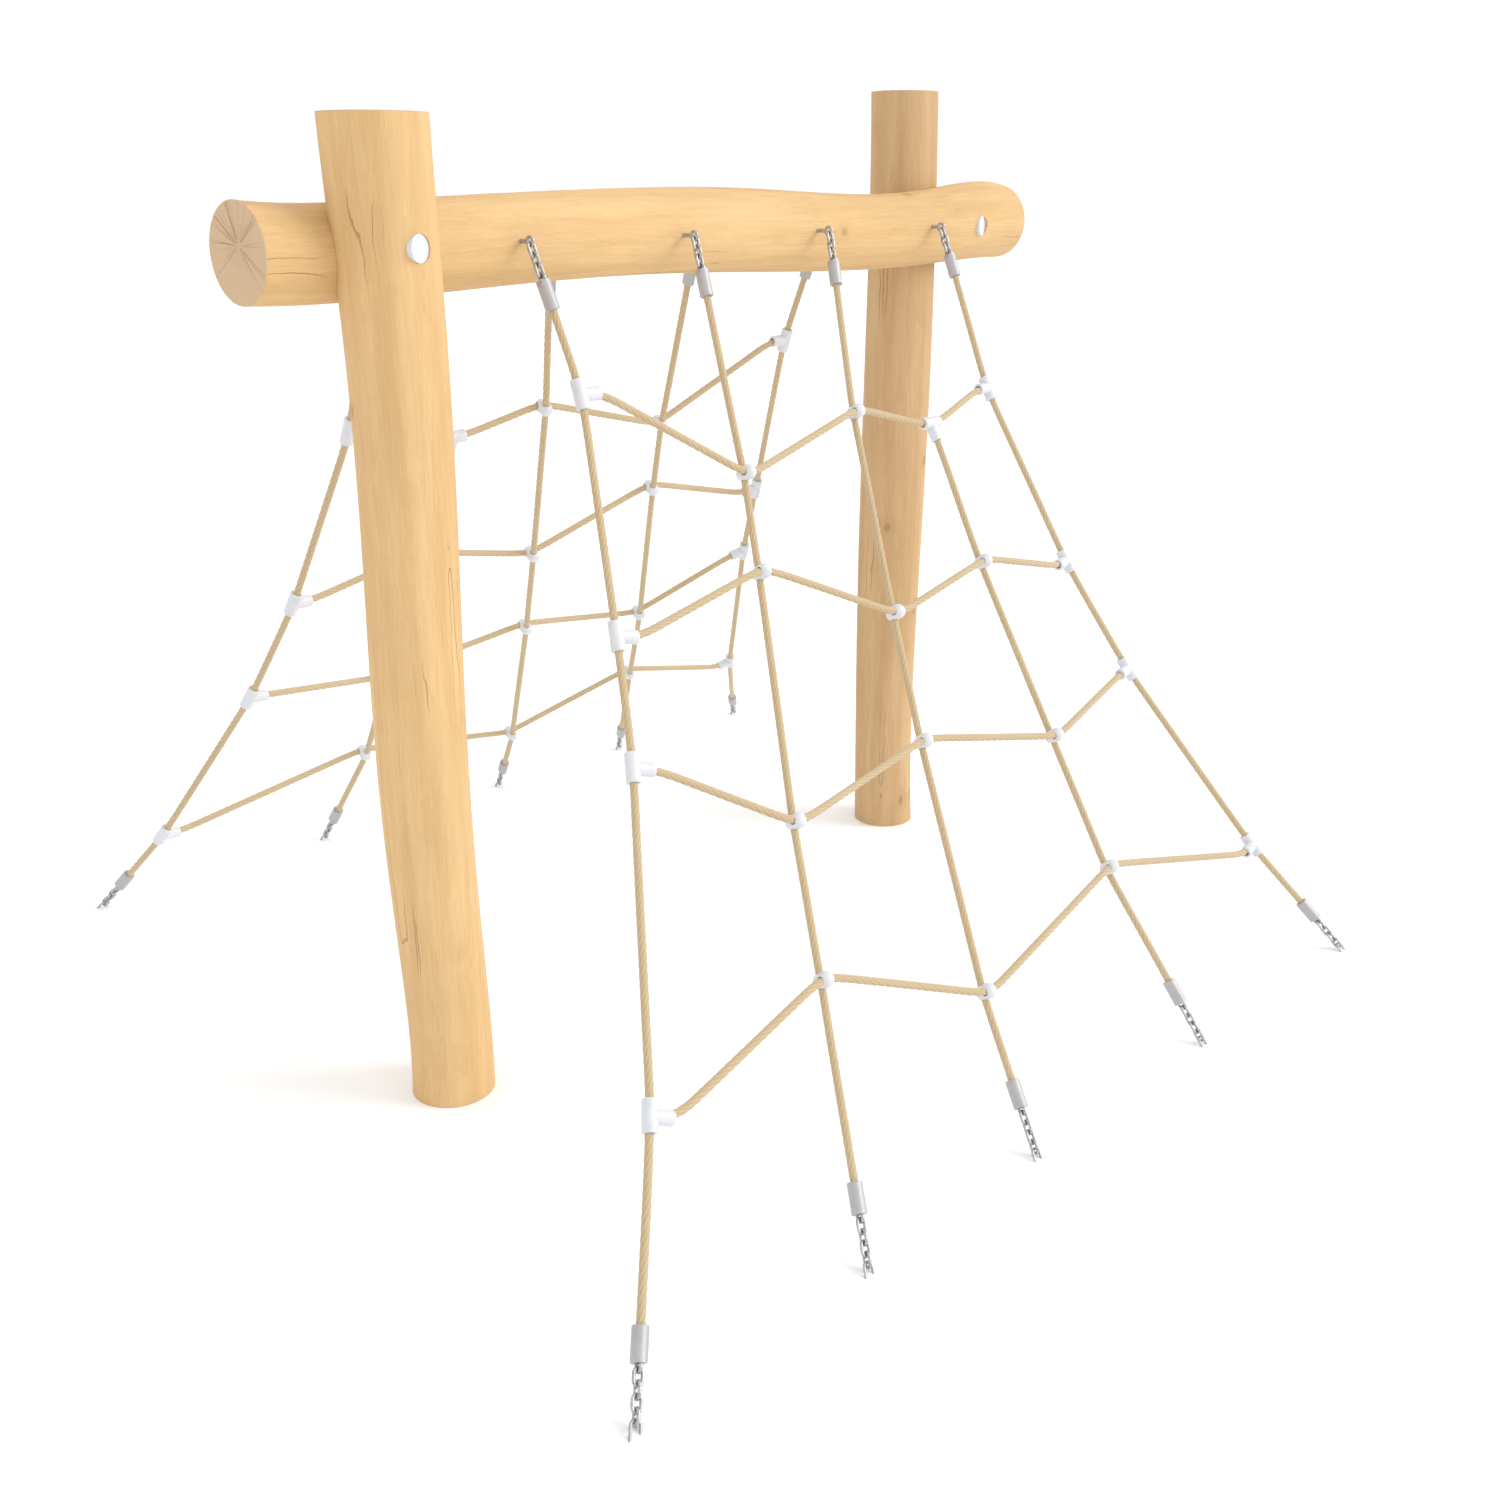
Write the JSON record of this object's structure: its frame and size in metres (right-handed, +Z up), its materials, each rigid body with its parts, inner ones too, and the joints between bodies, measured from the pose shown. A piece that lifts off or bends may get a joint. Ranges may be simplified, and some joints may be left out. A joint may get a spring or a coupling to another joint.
{
  "type": "cargo climbing net",
  "caption": "Cargo climbing net for a playground: two round log posts, a log crossbeam and two sloping rope nets with white T and cross connectors, ferrules and short chains.",
  "frame": {"origin": "on the ground, midway between the two posts and under the middle of the crossbeam", "axes": "+X along the crossbeam from the shorter post to the taller one, +Z up, -Y out of the front net"},
  "size_m": [3.0012, 2.8722, 2.245],
  "materials": {
    "post_wood": "peeled softwood log, fine checks, matt",
    "beam_wood": "peeled softwood log, fine checks, matt",
    "net_rope": "laid polyester over steel strands, matt",
    "white_plastic": "moulded, satin",
    "ferrule_aluminium": "pressed, satin",
    "galvanised_steel": "hot-dip galvanised",
    "zinc_steel": "zinc plated"
  },
  "bodies": {
    "frame": {"left_post": "post_wood", "right_post": "post_wood", "crossbeam": "beam_wood", "post_bolts": "zinc_steel", "post_bolt_nuts": "zinc_steel", "post_bolt_washers": "zinc_steel", "bolt_caps": "white_plastic", "front_eye_screws": "galvanised_steel", "front_ground_staples": "galvanised_steel", "back_eye_screws": "galvanised_steel", "back_ground_staples": "galvanised_steel"},
    "front_net_upper": {"front_top_chains": "galvanised_steel", "front_top_ferrules": "ferrule_aluminium", "front_rope_1_upper": "net_rope", "front_rope_2_upper": "net_rope", "front_rope_3_upper": "net_rope", "front_rope_4_upper": "net_rope", "front_rope_5_upper": "net_rope", "front_rope_flex_zones": "net_rope", "front_row_rope_1": "net_rope", "front_row_rope_2": "net_rope", "front_upper_t_connectors": "white_plastic", "front_upper_cross_connectors": "white_plastic"},
    "front_net_lower": {"front_rope_1_lower": "net_rope", "front_rope_2_lower": "net_rope", "front_rope_3_lower": "net_rope", "front_rope_4_lower": "net_rope", "front_rope_5_lower": "net_rope", "front_row_rope_3": "net_rope", "front_row_rope_4": "net_rope", "front_lower_t_connectors": "white_plastic", "front_lower_cross_connectors": "white_plastic", "front_bottom_ferrules": "ferrule_aluminium", "front_bottom_chains": "galvanised_steel"},
    "back_net_upper": {"back_top_chains": "galvanised_steel", "back_top_ferrules": "ferrule_aluminium", "back_rope_1_upper": "net_rope", "back_rope_2_upper": "net_rope", "back_rope_3_upper": "net_rope", "back_rope_4_upper": "net_rope", "back_rope_5_upper": "net_rope", "back_rope_flex_zones": "net_rope", "back_row_rope_1": "net_rope", "back_row_rope_2": "net_rope", "back_upper_t_connectors": "white_plastic", "back_upper_cross_connectors": "white_plastic"},
    "back_net_lower": {"back_rope_1_lower": "net_rope", "back_rope_2_lower": "net_rope", "back_rope_3_lower": "net_rope", "back_rope_4_lower": "net_rope", "back_rope_5_lower": "net_rope", "back_row_rope_3": "net_rope", "back_row_rope_4": "net_rope", "back_lower_t_connectors": "white_plastic", "back_lower_cross_connectors": "white_plastic", "back_bottom_ferrules": "ferrule_aluminium", "back_bottom_chains": "galvanised_steel"}
  },
  "joints": [
    {"name": "front_net_give", "type": "hinge", "parent": "frame", "child": "front_net_upper", "pos_m": [0, -0.13, 1.885], "axis": [1, 0, 0], "range_deg": [-1.5, 1.5], "stiffness_Nm_per_rad": 2500},
    {"name": "front_net_fold", "type": "hinge", "parent": "front_net_upper", "child": "front_net_lower", "pos_m": [0, -0.7332, 0.93], "axis": [0.9998, -0.0215, 0], "range_deg": [-3.1, 3.1], "deforming": ["front_rope_flex_zones"]},
    {"name": "back_net_give", "type": "hinge", "parent": "frame", "child": "back_net_upper", "pos_m": [0, 0.13, 1.885], "axis": [-1, 0, 0], "range_deg": [-1.5, 1.5], "stiffness_Nm_per_rad": 2500},
    {"name": "back_net_fold", "type": "hinge", "parent": "back_net_upper", "child": "back_net_lower", "pos_m": [0, 0.7332, 0.93], "axis": [-0.9998, 0.0215, 0], "range_deg": [-3.1, 3.1], "deforming": ["back_rope_flex_zones"]}
  ],
  "couplings": [
    {"joint": "front_net_fold", "follows": "front_net_give", "ratio": -2.033},
    {"joint": "back_net_fold", "follows": "back_net_give", "ratio": -2.033}
  ]
}
